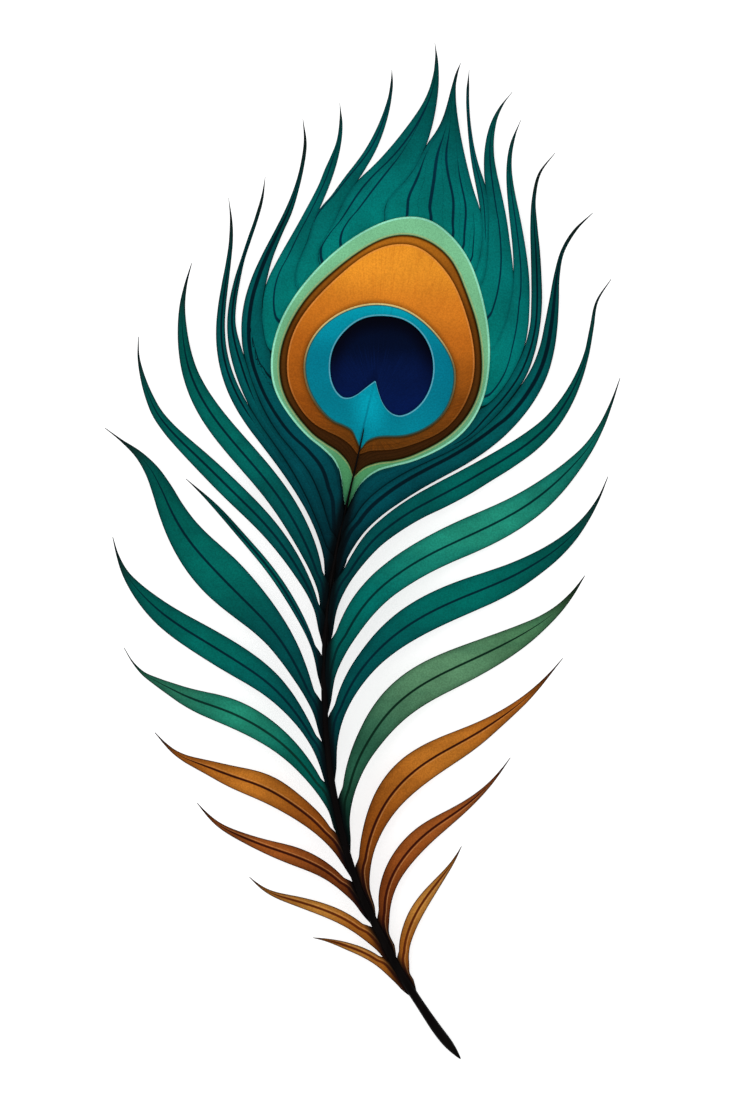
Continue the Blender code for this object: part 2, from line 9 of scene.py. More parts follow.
import bpy
import numpy as np
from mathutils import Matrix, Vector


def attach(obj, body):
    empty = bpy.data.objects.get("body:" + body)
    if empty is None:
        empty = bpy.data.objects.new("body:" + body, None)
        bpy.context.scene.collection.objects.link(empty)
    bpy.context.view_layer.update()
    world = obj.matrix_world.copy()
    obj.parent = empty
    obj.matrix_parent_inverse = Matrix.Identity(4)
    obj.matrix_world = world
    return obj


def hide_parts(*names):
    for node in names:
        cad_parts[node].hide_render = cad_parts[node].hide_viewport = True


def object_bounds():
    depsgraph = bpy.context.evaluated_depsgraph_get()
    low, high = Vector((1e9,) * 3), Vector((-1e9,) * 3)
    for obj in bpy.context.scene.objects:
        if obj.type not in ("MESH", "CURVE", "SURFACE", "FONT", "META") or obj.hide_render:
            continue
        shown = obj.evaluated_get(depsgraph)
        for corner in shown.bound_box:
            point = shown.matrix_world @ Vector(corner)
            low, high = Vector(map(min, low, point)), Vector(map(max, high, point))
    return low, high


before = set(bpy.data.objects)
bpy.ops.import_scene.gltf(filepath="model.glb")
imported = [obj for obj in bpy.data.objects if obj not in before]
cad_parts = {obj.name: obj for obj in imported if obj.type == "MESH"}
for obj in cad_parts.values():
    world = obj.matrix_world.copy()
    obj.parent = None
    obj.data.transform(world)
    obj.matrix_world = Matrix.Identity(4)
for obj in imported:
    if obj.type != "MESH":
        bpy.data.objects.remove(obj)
LOW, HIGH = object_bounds()

MM = 0.001

# Fineness of the meshes
BLADE_ROWS = 160
CROWN_ROWS = 190
COLUMNS_PER_MM = 3.2
LEAST_COLUMNS, MOST_COLUMNS = 24, 90
EYE_STEPS = 18
ROOT_WEB_GRID = (90, 40)
CROWN_WEB_GRID = (360, 10)

# Thin sheets
BLADE_THICKNESS = 0.42
EDGE_THICKNESS = 0.16
LEAST_THICKNESS = 0.1
WEB_THICKNESS = 0.2
GROOVE_DEPTH = 0.14
RIPPLE_HEIGHT = 0.02
RIB_SHARE = 0.54  # half width of a rib's line over the full width given for it

# Growth sideways, which closes the gaps that the CAD keeps between its pieces
LOOSE_GROWTH = 0.05
CROWN_GROWTH = 0.26
SEAM_GROWTH = 0.33  # beside another blade of the crown
RIM_GROWTH = 0.15  # added there close to the rim
EYE_GROWTH = 0.2

# A blade that starts near the shaft is led on down into its axis
LEAD_FROM = 5.0
LEAD_REACH = 2.6
LEAD_SLOPE = 2.2
LEAD_TURN = 0.3
LEAD_TAPER = 0.7

EYE_CENTRE = np.array([4.0, 50.0])
EYE_LOW, EYE_HIGH = 20.0, 84.0  # the values of Y between which the eye's colours change
EYE_FLOOR = 0.05

# The camera looks down on VIEW_CENTRE and sees HALF_VIEW metres above and below it
VIEW_CENTRE = (0.001375, -0.000125)
HALF_VIEW = 0.138
LENS = 200
SENSOR = 36

# Ribs of the crown's blades: points (u, v) from the root to the tip, and the line's full width
CROWN_RIBS = {
    1: [([(0.2, 0.45), (0.1, 0.95)], 0.45)],
    2: [([(0.2, 0.45), (0.0, 0.95)], 0.45)],
    3: [([(-0.1, 0.06), (0.0, 0.2), (-0.1, 0.28), (-0.2, 0.37), (-0.45, 0.47), (-0.2, 0.6), (0.0, 0.9)], 0.9),
        ([(0.85, 0.4), (0.5, 0.43), (0.1, 0.45), (-0.2, 0.51), (-0.35, 0.55)], 0.7)],
    4: [([(-0.1, 0.0), (-0.2, 0.1), (-0.2, 0.24), (0.0, 0.36), (0.0, 0.95)], 0.75)],
    5: [([(-0.85, 0.3), (-0.6, 0.46), (-0.3, 0.56), (0.0, 0.7), (0.0, 0.95)], 0.6)],
    6: [([(-0.9, 0.05), (-0.7, 0.16), (-0.55, 0.28), (-0.4, 0.42), (-0.1, 0.65), (0.0, 0.9)], 0.75),
        ([(-0.3, 0.0), (-0.22, 0.07), (-0.12, 0.18), (0.0, 0.34), (0.0, 0.55)], 0.75)],
    7: [([(-0.6, 0.0), (-0.6, 0.08), (-0.7, 0.2), (-0.8, 0.34), (-0.85, 0.5)], 0.6),
        ([(-0.15, 0.0), (-0.25, 0.15), (-0.35, 0.28), (-0.42, 0.45), (-0.48, 0.65)], 0.75),
        ([(0.3, 0.0), (0.2, 0.2), (0.07, 0.35), (-0.1, 0.52), (-0.15, 0.68)], 0.7),
        ([(0.55, 0.0), (0.5, 0.25), (0.48, 0.55)], 0.6),
        ([(0.8, 0.0), (0.75, 0.14), (0.7, 0.26)], 0.45)],
    8: [([(0.0, 0.2), (0.0, 0.95)], 0.3)],
    9: [([(0.0, 0.0), (0.0, 0.4), (-0.1, 0.5), (-0.1, 0.9)], 0.7)],
    10: [([(0.65, 0.0), (0.5, 0.1), (0.1, 0.18), (-0.2, 0.3), (-0.1, 0.4), (0.0, 0.9)], 0.7)],
    11: [([(0.1, 0.35), (0.1, 0.95)], 0.45)],
    12: [([(-0.3, 0.06), (-0.3, 0.3), (-0.4, 0.42), (-0.3, 0.48), (0.0, 0.57), (0.0, 0.95)], 0.95)],
}
MIDRIB = [([(0, 0.02), (0, 0.9)], 0.55)]  # the one rib of a loose barb

# Outline of the web that joins the roots under the shaft's upper part: points (x, y) up each side
WEB_LEFT = [(-8.9, -19), (-9.2, -13), (-9.0, -8), (-9.4, -1), (-10.5, 6), (-12.3, 12), (-13.5, 17), (-8, 21)]
WEB_RIGHT = [(-8.5, -19), (-7.4, -13), (-5.6, -7), (-4.0, -2.6), (-3.2, 0.6), (0.4, 5.8), (5.0, 10.6),
             (6, 21)]
WEB_UNDER = ["shaft", "crown_barb_01", "crown_barb_02", "crown_barb_03", "crown_barb_11", "crown_barb_12"]

# Blade colours from the root to the tip, 0 to 255, then the rib's colour
BLADE_LOOKS = {
    "teal": ([(0, 36, 40), (0, 68, 68), (0, 93, 84), (0, 74, 66), (24, 32, 18)], (0, 32, 40)),
    "crown": ([(0, 108, 102), (0, 102, 98), (0, 84, 82), (0, 68, 62), (26, 32, 18)], (0, 40, 54)),
    "deep": ([(0, 34, 42), (0, 66, 74), (0, 84, 84), (0, 66, 62), (26, 32, 18)], (0, 22, 30)),
    "teal_light": ([(0, 44, 46), (0, 94, 86), (30, 130, 108), (10, 100, 88), (14, 44, 38)], (0, 40, 40)),
    "teal_sage": ([(0, 34, 36), (0, 84, 74), (30, 124, 100), (40, 104, 80), (24, 44, 32)], (6, 44, 36)),
    "sage": ([(2, 30, 26), (34, 80, 60), (82, 126, 92), (64, 108, 74), (30, 40, 22)], (6, 34, 22)),
    "bronze": ([(58, 24, 6), (126, 66, 16), (176, 106, 34), (150, 84, 24), (62, 36, 14)], (48, 14, 6)),
    "russet": ([(48, 18, 6), (108, 52, 16), (150, 80, 30), (126, 66, 26), (58, 32, 14)], (50, 14, 6)),
    "straw": ([(70, 34, 8), (150, 88, 26), (182, 124, 52), (150, 98, 38), (90, 62, 30)], (84, 34, 8)),
}
COLOUR_PLACES = (0.0, 0.22, 0.55, 0.82, 0.97)  # v of each blade colour
RIB_HIGHLIGHT_LOOKS = ("bronze", "russet", "straw")  # these have a painted highlight, a pale line beside the rib
LEFT_LOOKS = ["straw", "straw", "russet", "bronze", "teal_sage", "teal", "teal", "teal", "teal", "teal"]
RIGHT_LOOKS = ["straw", "russet", "bronze", "sage", "teal", "teal_light", "teal"]
CROWN_LOOKS = {number: "crown" if 4 <= number <= 10 else "deep" for number in CROWN_RIBS}


# ---------------------------------------------------------------- reading the CAD nodes

def welded(node):
    """Points in millimetres and triangles of a CAD node, with vertices in one place made one."""
    mesh = node.data
    mesh.calc_loop_triangles()
    points = np.empty(len(mesh.vertices) * 3)
    mesh.vertices.foreach_get("co", points)
    world = np.array(node.matrix_world)
    points = (points.reshape(-1, 3) @ world[:3, :3].T + world[:3, 3]) / MM
    faces = np.empty(len(mesh.loop_triangles) * 3, int)
    mesh.loop_triangles.foreach_get("vertices", faces)
    _, first, index = np.unique(np.round(points, 3), axis=0, return_index=True, return_inverse=True)
    return points[first], index.reshape(-1)[faces].reshape(-1, 3)


def upper_loops(node, least_rise=0.2):
    """Loops round the faces of a node that look up, and the number of points on those faces."""
    points, faces = welded(node)
    corners = points[faces]
    normals = np.cross(corners[:, 1] - corners[:, 0], corners[:, 2] - corners[:, 0])
    top = faces[normals[:, 2] > least_rise * np.linalg.norm(normals, axis=1)]
    edges = {(a, b) for face in top for a, b in zip(face, np.roll(face, -1))}
    after = {a: b for a, b in edges if (b, a) not in edges}
    loops = []
    while after:
        at, loop = next(iter(after)), []
        while at in after:
            loop.append(at)
            at = after.pop(at)
        loops.append(points[loop])
    return loops, len(np.unique(top))


def blade_rails(node):
    """Left and right edge of a blade from the root up, and its root from the left.

    The top of a blade is a grid. Its numbers of rows and columns follow from the points round it and on
    it, and its tip is where as many steps as there are columns cover the least way."""
    loops, count = upper_loops(node)
    loop = max(loops, key=len)
    half = len(loop) // 2
    both = count - half - 1
    columns = round((half - math.sqrt(half * half - 4 * both)) / 2)
    rows = half - columns
    steps = np.linalg.norm(np.roll(loop, -1, axis=0) - loop, axis=1)
    spans = sum(np.roll(steps, -k) for k in range(columns))
    tip = np.argmin(spans)
    loop = np.roll(loop, -tip - columns, axis=0)
    left = loop[: rows + 1][::-1]
    root = loop[rows : rows + columns + 1]
    right = loop[rows + columns : 2 * rows + columns + 1]
    return left, right, root


# ---------------------------------------------------------------- curves

def smoothstep(low, high, value):
    """0 to 1 along an S as the value goes from low to high."""
    share = np.clip((value - low) / (high - low), 0, 1)
    return share * share * (3 - 2 * share)


def smooth_line(points, count):
    """`count` evenly spaced points on a Catmull-Rom curve through the given ones."""
    points = np.asarray(points, float)
    before, after = 2 * points[0] - points[1], 2 * points[-1] - points[-2]
    padded = np.concatenate([[before], points, [after]])
    share = np.linspace(0, 1, 12, endpoint=False)[:, None]
    pieces = []
    for a, b, c, d in zip(padded, padded[1:], padded[2:], padded[3:]):
        bend = (2 * a - 5 * b + 4 * c - d) * share**2 + (3 * b - a - 3 * c + d) * share**3
        pieces.append(0.5 * (2 * b + (c - a) * share + bend))
    fine = np.concatenate([*pieces, points[-1:]])
    along = np.concatenate([[0], np.cumsum(np.linalg.norm(np.diff(fine, axis=0), axis=1))])
    at = np.linspace(0, along[-1], count)
    return np.stack([np.interp(at, along, fine[:, k]) for k in range(fine.shape[1])], axis=1)


def sharp_loop(loop, count):
    """The loop as a smooth curve of `count` points, closed and left sharp at its sharpest point."""
    ahead = np.roll(loop, -1, axis=0) - loop
    behind = loop - np.roll(loop, 1, axis=0)
    cosines = (ahead * behind).sum(axis=1) / np.linalg.norm(ahead, axis=1) / np.linalg.norm(behind, axis=1)
    loop = np.roll(loop, -np.argmin(cosines), axis=0)
    return smooth_line(np.concatenate([loop, loop[:1]]), count)


def anticlockwise(loop):
    """The loop in anticlockwise order, seen from above."""
    x, y = loop[:, 0], loop[:, 1]
    area = (x * np.roll(y, -1) - y * np.roll(x, -1)).sum()
    return loop if area > 0 else loop[::-1]


def grown(loop, distance):
    """The anticlockwise loop moved outward along its normals."""
    ahead = np.roll(loop, -1, axis=0) - np.roll(loop, 1, axis=0)
    out = np.stack([ahead[:, 1], -ahead[:, 0]], axis=1)
    moved = loop.copy()
    moved[:, :2] += distance * out / np.maximum(np.linalg.norm(out, axis=1, keepdims=True), 1e-9)
    return moved


def left_of(rail):
    """Unit vectors in plan that point to the left of the rail's course."""
    ahead = np.gradient(rail[:, :2], axis=0)
    ahead /= np.maximum(np.linalg.norm(ahead, axis=1, keepdims=True), 1e-9)
    return np.stack([-ahead[:, 1], ahead[:, 0]], axis=1)


def radii_at(loop, bearings):
    """Distances from the eye's centre to a loop round it, in the directions of the bearings."""
    out = loop[:, :2] - EYE_CENTRE
    angle = np.arctan2(out[:, 1], out[:, 0])
    order = np.argsort(angle)
    return np.interp(bearings, angle[order], np.linalg.norm(out, axis=1)[order], period=2 * math.pi)


def around_eye(bearings, reach):
    """X and Y of points at the bearings, a row for each, and at distances from the eye's centre."""
    x = EYE_CENTRE[0] + reach * np.cos(bearings)[:, None]
    y = EYE_CENTRE[1] + reach * np.sin(bearings)[:, None]
    return np.stack([x, y], axis=-1)


# ---------------------------------------------------------------- lines read from the CAD

def shaft_axis():
    """Centres of the shaft from the quill up, read from slices of its CAD mesh."""
    points, _ = welded(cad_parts["shaft"])
    points = points[np.argsort(points[:, 1])]
    breaks = np.linspace(points[0, 1], points[-1, 1], 60)
    centres = []
    for low, high in zip(breaks, breaks[1:]):
        ring = points[(points[:, 1] >= low) & (points[:, 1] <= high)]
        if len(ring) > 5:
            centres.append(ring.mean(axis=0))
    return smooth_line(centres, 400)


SHAFT_LINE = shaft_axis()
RIM_LOOP = max((sharp_loop(loop, 1200) for loop in upper_loops(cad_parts["eye_rim"], 0.9)[0]),
               key=lambda loop: np.ptp(loop[:, 1]))
CROWN_EDGES = {
    name: np.concatenate([smooth_line(rail, 400) for rail in blade_rails(node)[:2]])[:, :2]
    for name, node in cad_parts.items() if name.startswith("crown")
}


def shaft_distance(points):
    """Distance in plan from each point to the shaft's axis, and the nearest point on it."""
    flat = points.reshape(-1, 3)
    gaps = np.linalg.norm(flat[:, None, :2] - SHAFT_LINE[None, :, :2], axis=2)
    nearest = gaps.argmin(axis=1)
    return gaps.min(axis=1).reshape(points.shape[:-1]), SHAFT_LINE[nearest].reshape(points.shape)


def rim_gap(plan):
    """Distance outward from the outer edge of the eye's rim to each point, seen from above."""
    out = plan[..., :2] - EYE_CENTRE
    return np.linalg.norm(out, axis=-1) - radii_at(RIM_LOOP, np.arctan2(out[..., 1], out[..., 0]))


def node_heights(points, names):
    """Height of the CAD points of the named nodes, eased over the ones nearest to each point."""
    known = np.concatenate([welded(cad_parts[name])[0] for name in names])
    gaps = np.linalg.norm(points.reshape(-1, 1, 2) - known[None, :, :2], axis=2)
    nearest = np.argsort(gaps, axis=1)[:, :24]
    weights = 1 / (np.take_along_axis(gaps, nearest, axis=1) + 0.3) ** 2
    return ((known[nearest, 2] * weights).sum(axis=1) / weights.sum(axis=1)).reshape(points.shape[:-1])


# ---------------------------------------------------------------- shader nodes

def linear(colour):
    """Scene-linear colour of a display colour from 0 to 255."""
    share = np.array(colour) / 255
    curve = np.where(share <= 0.04045, share / 12.92, ((share + 0.055) / 1.055) ** 2.4)
    return (*curve.tolist(), 1)


def wire(tree, value, socket):
    """Links a socket's value or sets a plain one."""
    if isinstance(value, bpy.types.NodeSocket):
        tree.links.new(value, socket)
    else:
        socket.default_value = value


def calc(tree, operation, *values):
    """Result of a math node."""
    node = tree.nodes.new("ShaderNodeMath")
    node.operation = operation
    for value, socket in zip(values, node.inputs):
        wire(tree, value, socket)
    return node.outputs[0]


def ease(tree, value, low, high, start=0.0, end=1.0):
    """Smooth step from start to end as the value goes from low to high."""
    node = tree.nodes.new("ShaderNodeMapRange")
    node.interpolation_type = "SMOOTHSTEP"
    for part, socket in zip((value, low, high, start, end), node.inputs):
        wire(tree, part, socket)
    return node.outputs[0]


def share_between(tree, value, low, high):
    """0 to 1 in a straight line as the value goes from low to high."""
    node = tree.nodes.new("ShaderNodeMapRange")
    for part, socket in zip((value, low, high), node.inputs):
        wire(tree, part, socket)
    return node.outputs[0]


def stripe(tree, value, start, end, strength):
    """The strength where the value lies between start and end, with soft sides, and 0 elsewhere."""
    soft = 0.12
    rise = ease(tree, value, start - soft, start + soft)
    return calc(tree, "MULTIPLY", rise, ease(tree, value, end - soft, end + soft, strength, 0.0))


def blend(tree, factor, first, second, mode="MIX"):
    """Colour mixed from the first to the second by a factor."""
    node = tree.nodes.new("ShaderNodeMix")
    node.data_type = "RGBA"
    node.blend_type = mode
    wire(tree, factor, node.inputs[0])
    wire(tree, first, node.inputs[6])
    wire(tree, second, node.inputs[7])
    return node.outputs[2]


def ramp(tree, value, stops):
    """Colour by a value from 0 to 1, from stops of places and colours."""
    node = tree.nodes.new("ShaderNodeValToRGB")
    node.color_ramp.interpolation = "EASE"
    elements = node.color_ramp.elements
    while len(elements) < len(stops):
        elements.new(0.5)
    for element, (at, colour) in zip(elements, stops):
        element.position = at
        element.color = linear(colour)
    wire(tree, value, node.inputs[0])
    return node.outputs[0]


def field(tree, name):
    """A value stored at the mesh's points."""
    node = tree.nodes.new("ShaderNodeAttribute")
    node.attribute_name = name
    return node.outputs["Fac"]


def place(tree):
    """X and Y in millimetres."""
    node = tree.nodes.new("ShaderNodeSeparateXYZ")
    tree.links.new(tree.nodes.new("ShaderNodeTexCoord").outputs["Object"], node.inputs[0])
    return calc(tree, "MULTIPLY", node.outputs[0], 1000.0), calc(tree, "MULTIPLY", node.outputs[1], 1000.0)


def noise(tree, scale, detail=3.0, stretch=None):
    """Noise from 0 to 1 in object space. Stretch scales the three axes."""
    at = tree.nodes.new("ShaderNodeTexCoord").outputs["Object"]
    if stretch:
        mapping = tree.nodes.new("ShaderNodeMapping")
        mapping.inputs["Scale"].default_value = stretch
        tree.links.new(at, mapping.inputs["Vector"])
        at = mapping.outputs[0]
    node = tree.nodes.new("ShaderNodeTexNoise")
    tree.links.new(at, node.inputs["Vector"])
    node.inputs["Scale"].default_value = scale
    node.inputs["Detail"].default_value = detail
    return node.outputs["Fac"]


def distance_to(tree, x, y, centre):
    """Distance in plan to a point."""
    dx, dy = calc(tree, "SUBTRACT", x, centre[0]), calc(tree, "SUBTRACT", y, centre[1])
    squares = calc(tree, "ADD", calc(tree, "MULTIPLY", dx, dx), calc(tree, "MULTIPLY", dy, dy))
    return calc(tree, "SQRT", squares)


def streaks_from(tree, x, y, centre, count):
    """Noise in narrow rays that fan out from a point."""
    dx, dy = calc(tree, "SUBTRACT", x, centre[0]), calc(tree, "SUBTRACT", y, centre[1])
    ray = tree.nodes.new("ShaderNodeCombineXYZ")
    wire(tree, calc(tree, "MULTIPLY", calc(tree, "ARCTAN2", dy, dx), count), ray.inputs[0])
    wire(tree, calc(tree, "MULTIPLY", distance_to(tree, x, y, centre), 0.12), ray.inputs[1])
    rays = tree.nodes.new("ShaderNodeTexNoise")
    tree.links.new(ray.outputs[0], rays.inputs["Vector"])
    rays.inputs["Scale"].default_value = 1.0
    rays.inputs["Detail"].default_value = 3.0
    return rays.outputs["Fac"]


def new_material(name, roughness):
    """A material, its node tree and its shader. All surfaces of the feather are nearly matt."""
    material = bpy.data.materials.new(name)
    material.use_nodes = True
    tree = material.node_tree
    shader = tree.nodes["Principled BSDF"]
    shader.inputs["Roughness"].default_value = roughness
    shader.inputs["Specular IOR Level"].default_value = 0.02
    return material, tree, shader


def grained(tree, colour, fine=0.16, broad=0.14):
    """The colour with a felt-like grain and slow uneven tone."""
    speckle = ease(tree, noise(tree, 2600, 4.0), 0.3, 0.7, 1 - fine, 1 + fine)
    cloud = ease(tree, noise(tree, 90, 3.0), 0.3, 0.7, 1 - broad, 1 + broad)
    tone = calc(tree, "MULTIPLY", speckle, cloud)
    grey = tree.nodes.new("ShaderNodeCombineColor")
    for socket in grey.inputs[:3]:
        tree.links.new(tone, socket)
    return blend(tree, 1.0, colour, grey.outputs[0], "MULTIPLY")


def bumped(tree, shader, height):
    """Gives the shader a fine relief from a height."""
    node = tree.nodes.new("ShaderNodeBump")
    node.inputs["Strength"].default_value = 0.5
    node.inputs["Distance"].default_value = 0.0001
    tree.links.new(height, node.inputs["Height"])
    tree.links.new(node.outputs[0], shader.inputs["Normal"])


# ---------------------------------------------------------------- meshes

def sheet_solid(name, top, bottom, fields, ring=False):
    """A closed thin solid between two grids of points, with named values at the points of each.

    A ring's last row meets its first one."""
    rows, columns = top.shape[:2]
    index = np.arange(rows * columns).reshape(rows, columns)
    if ring:
        index = np.concatenate([index, index[:1]])
    quads = np.stack([index[:-1, :-1], index[:-1, 1:], index[1:, 1:], index[1:, :-1]], axis=-1)
    quads = quads.reshape(-1, 4)
    if ring:
        rims = [index[:-1, -1], index[-2::-1, 0]]
    else:
        rims = [np.concatenate([index[0, :], index[1:, -1], index[-1, -2::-1], index[-2:0:-1, 0]])]
    count = rows * columns
    walls = []
    for rim in rims:
        ahead = np.roll(rim, -1)
        walls.append(np.stack([rim, rim + count, ahead + count, ahead], axis=-1))
    faces = np.concatenate([quads, quads[:, ::-1] + count, *walls])
    mesh = bpy.data.meshes.new(name)
    points = np.concatenate([top.reshape(-1, 3), bottom.reshape(-1, 3)]) * MM
    mesh.from_pydata(points.tolist(), [], faces.tolist())
    for key, values in fields.items():
        layer = mesh.attributes.new(key, "FLOAT", "POINT")
        layer.data.foreach_set("value", np.tile(values.reshape(-1), 2).astype(np.float32))
    mesh.shade_smooth()
    mesh.update()
    obj = bpy.data.objects.new(name, mesh)
    bpy.context.scene.collection.objects.link(obj)
    return obj


def web_solid(name, plan, level, fields, material, ring=False):
    """A thin sheet whose top lies at a level over its plan. It joins roots that grew together."""
    top = np.concatenate([plan, level[..., None]], axis=-1)
    bottom = top.copy()
    bottom[..., 2] -= WEB_THICKNESS
    obj = sheet_solid(name, top, bottom, fields, ring)
    obj.data.materials.append(material)
    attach(obj, "root")


# ---------------------------------------------------------------- blades

def led_into_shaft(left, right):
    """Leads both edges from the root on down into the shaft's axis, and gives the length added."""
    root = (left[0] + right[0]) / 2
    near, axis = shaft_distance(root[None])
    if near[0] > LEAD_FROM:
        return left, right, 0.0
    course = root - (left[2] + right[2]) / 2
    course /= np.linalg.norm(course)
    reach = LEAD_SLOPE * near[0] + LEAD_REACH
    low = SHAFT_LINE[np.argmin(np.linalg.norm(SHAFT_LINE - axis[0] - (0, -reach, 0), axis=1))]
    turn = root + course * reach * LEAD_TURN
    half = (right[0] - left[0]) / 2
    t = np.linspace(0, 1, 9)[1:, None]
    path = root * (1 - t) ** 2 + 2 * turn * t * (1 - t) + low * t**2
    side = half * (1 - LEAD_TAPER * t)
    lead = np.linalg.norm(np.diff(np.concatenate([root[None], path]), axis=0), axis=1).sum()
    left = np.concatenate([(path - side)[::-1], left])
    right = np.concatenate([(path + side)[::-1], right])
    return left, right, lead


def seam_growth(name, rail, v):
    """How far an edge grows: more beside another blade of the crown, and most at the rim."""
    others = np.concatenate([edges for other, edges in CROWN_EDGES.items() if other != name])
    gap = np.linalg.norm(rail[:, None, :2] - others[None], axis=2).min(axis=1)[:, None]
    beside = 1 - smoothstep(0.9, 1.6, gap)
    at_rim = 1 - smoothstep(0.02, 0.08, v)
    return CROWN_GROWTH + (SEAM_GROWTH - CROWN_GROWTH) * beside + RIM_GROWTH * beside * at_rim


def pulled_to_shaft(left, right, along):
    """Draws the edge beside the shaft in under it, which closes the gap that the CAD keeps there."""
    nears, axes = zip(*(shaft_distance(rail) for rail in (left, right)))
    moved = []
    for rail, near, axis, other in zip((left, right), nears, axes, nears[::-1]):
        beside = (near < other)[:, None] * (1 - smoothstep(1.3, 2.6, near))[:, None] * 0.8
        rail = rail.copy()
        rail[:, :2] += (axis - rail)[:, :2] * beside * (along < 25)
        moved.append(rail)
    return moved


def tucked_under_rim(plan):
    """Moves the points close outside the eye's rim in under it. Also gives the height to stay under."""
    out = plan[..., :2] - EYE_CENTRE
    gap = rim_gap(plan)
    inward = 1.1 * (1 - smoothstep(0.3, 1.6, gap))
    tucked = plan.copy()
    tucked[..., :2] -= out / np.linalg.norm(out, axis=-1, keepdims=True) * inward[..., None]
    return tucked, 0.5 + 1.6 * np.maximum(gap - inward, 0)


def blade_plan(name, crown):
    """Middle surface of a blade as a grid of points, with what its relief is worked out from.

    Gives the points, u, v, half the width in each row, the length, and the height to stay under."""
    left, right, root = blade_rails(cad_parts[name])
    rows = CROWN_ROWS if crown else BLADE_ROWS
    left, right, lead = led_into_shaft(left, right)
    left, right = smooth_line(left, rows), smooth_line(right, rows)
    widest = np.linalg.norm(right - left, axis=1).max()
    length = np.linalg.norm(np.diff((left + right) / 2, axis=0), axis=1).sum()
    columns = int(np.clip(widest * COLUMNS_PER_MM, LEAST_COLUMNS, MOST_COLUMNS))
    u = np.linspace(-1, 1, columns)[None, :]
    along = np.linspace(0, length, rows)[:, None]
    v = np.clip((along - lead) / (length - lead), 0, 1)
    share = (u + 1) / 2
    chord = left[0] * (1 - share.T) + right[0] * share.T
    for rail, side in ((left, 1), (right, -1)):
        growth = seam_growth(name, rail, v) if crown else LOOSE_GROWTH
        rail[:, :2] += side * left_of(rail) * growth * smoothstep(1, 0.9, v)
    left, right = pulled_to_shaft(left, right, along)
    plan = left[:, None] * (1 - share[..., None]) + right[:, None] * share[..., None]
    ceiling = np.full(plan.shape[:2], np.inf)
    if crown:
        if lead == 0:
            bulge = smooth_line(root, columns) - chord
            plan = plan + bulge * (1 - v[..., None]) ** 4 * smoothstep(1, 0.6, v[..., None])
        plan, ceiling = tucked_under_rim(plan)
    half = np.linalg.norm(right - left, axis=1)[:, None] / 2
    return plan, u, v, half, length, ceiling


def rib_field(ribs, u, v, half):
    """Distance to the nearest rib, left of it negative, over half the width of the rib's line."""
    nearest = np.full(u.shape, 99.0)
    for points, width in ribs:
        points = smooth_line(points, 60)
        start, end = points[0, 1], points[-1, 1]
        at = np.interp(v, points[:, 1], points[:, 0])
        inside = smoothstep(start - 0.04, start + 0.04, v) if start > 0.07 else 1.0
        inside *= 1 - smoothstep(end - 0.25, end + 0.02, v)
        reach = np.maximum(width * RIB_SHARE * inside, 0.02)
        away = (u - at) * half / reach
        nearest = np.where(np.abs(away) < np.abs(nearest), away, nearest)
    return nearest


def build_blade(name, ribs, material, crown=False):
    """A cambered blade with sunk ribs, fine ripples across it and thin edges."""
    plan, u, v, half, length, ceiling = blade_plan(name, crown)
    whole = np.ones(plan.shape[:2])
    rib = rib_field(ribs, u * whole, v * whole, half)
    camber = np.clip(half * 0.16, 0.03, 0.5) * (1 - u**2)
    groove = -GROOVE_DEPTH * np.exp(-np.clip(rib, -9, 9) ** 2 / 1.6)
    ripples = RIPPLE_HEIGHT * np.sin(v * length * 5 - np.abs(u) * half * 2.6) * np.clip(half, 0, 1)
    top = plan.copy()
    top[..., 2] = np.minimum(top[..., 2] + camber + groove + ripples, ceiling)
    edge = half * (1 - np.abs(u))
    thickness = EDGE_THICKNESS + (BLADE_THICKNESS - EDGE_THICKNESS) * smoothstep(0, 0.8, edge)
    bottom = top.copy()
    bottom[..., 2] = plan[..., 2] - thickness + camber * 0.7
    bottom[..., 2] = np.clip(bottom[..., 2], 0.0, top[..., 2] - LEAST_THICKNESS)
    fields = {"along": v * whole, "edge": edge, "rib": rib, "near": shaft_distance(plan)[0]}
    obj = sheet_solid(f"{name}_look", top, bottom, fields)
    obj.data.materials.append(material)
    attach(obj, "root")
    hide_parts(name)


def blade_material(name):
    """Colours along the blade, with dark ribs, edge lines and root, painted shade towards the edges and, on
    warm blades, a painted highlight beside the rib.
    """
    colours, rib_colour = BLADE_LOOKS[name]
    material, tree, shader = new_material(f"blade_{name}", 0.62)
    along, edge, rib = field(tree, "along"), field(tree, "edge"), field(tree, "rib")
    colour = ramp(tree, along, list(zip(COLOUR_PLACES, colours)))
    barbules = noise(tree, 60, 2.0, (1.0, 6.0, 1.0))
    colour = blend(tree, ease(tree, barbules, 0.45, 0.75, 0.0, 0.25), colour, linear(colours[1]))
    # painted shade: the blade darkens from its middle towards its edges, as shade falls on a rounded blade
    colour = blend(tree, ease(tree, edge, 0.2, 1.6, 0.3, 0.0), colour, linear(rib_colour))
    if name in RIB_HIGHLIGHT_LOOKS:
        # painted highlight: a pale line on one side of the sunk rib
        colour = blend(tree, stripe(tree, rib, 1.5, 2.1, 0.3), colour, linear((214, 160, 104)))
    rib_line = ease(tree, calc(tree, "ABSOLUTE", rib), 0.7, 1.3, 1.0, 0.0)
    colour = blend(tree, rib_line, colour, linear(rib_colour))
    edge_colour = tuple(round(part * 0.45) for part in rib_colour)
    colour = blend(tree, ease(tree, edge, 0.1, 0.34, 0.85, 0.0), colour, linear(edge_colour))
    root = ease(tree, field(tree, "near"), 0.9, 3.0, 0.96, 0.0)
    colour = blend(tree, root, colour, linear((3, 6, 8)))
    tree.links.new(grained(tree, colour), shader.inputs["Base Color"])
    bumped(tree, shader, noise(tree, 2600, 4.0))
    return material


def plain_fields(shape, along):
    """Values of a web: one colour, and no rib, edge or shaft near."""
    whole = np.ones(shape)
    return {"along": along * whole, "edge": 3 * whole, "rib": 9 * whole, "near": 9 * whole}


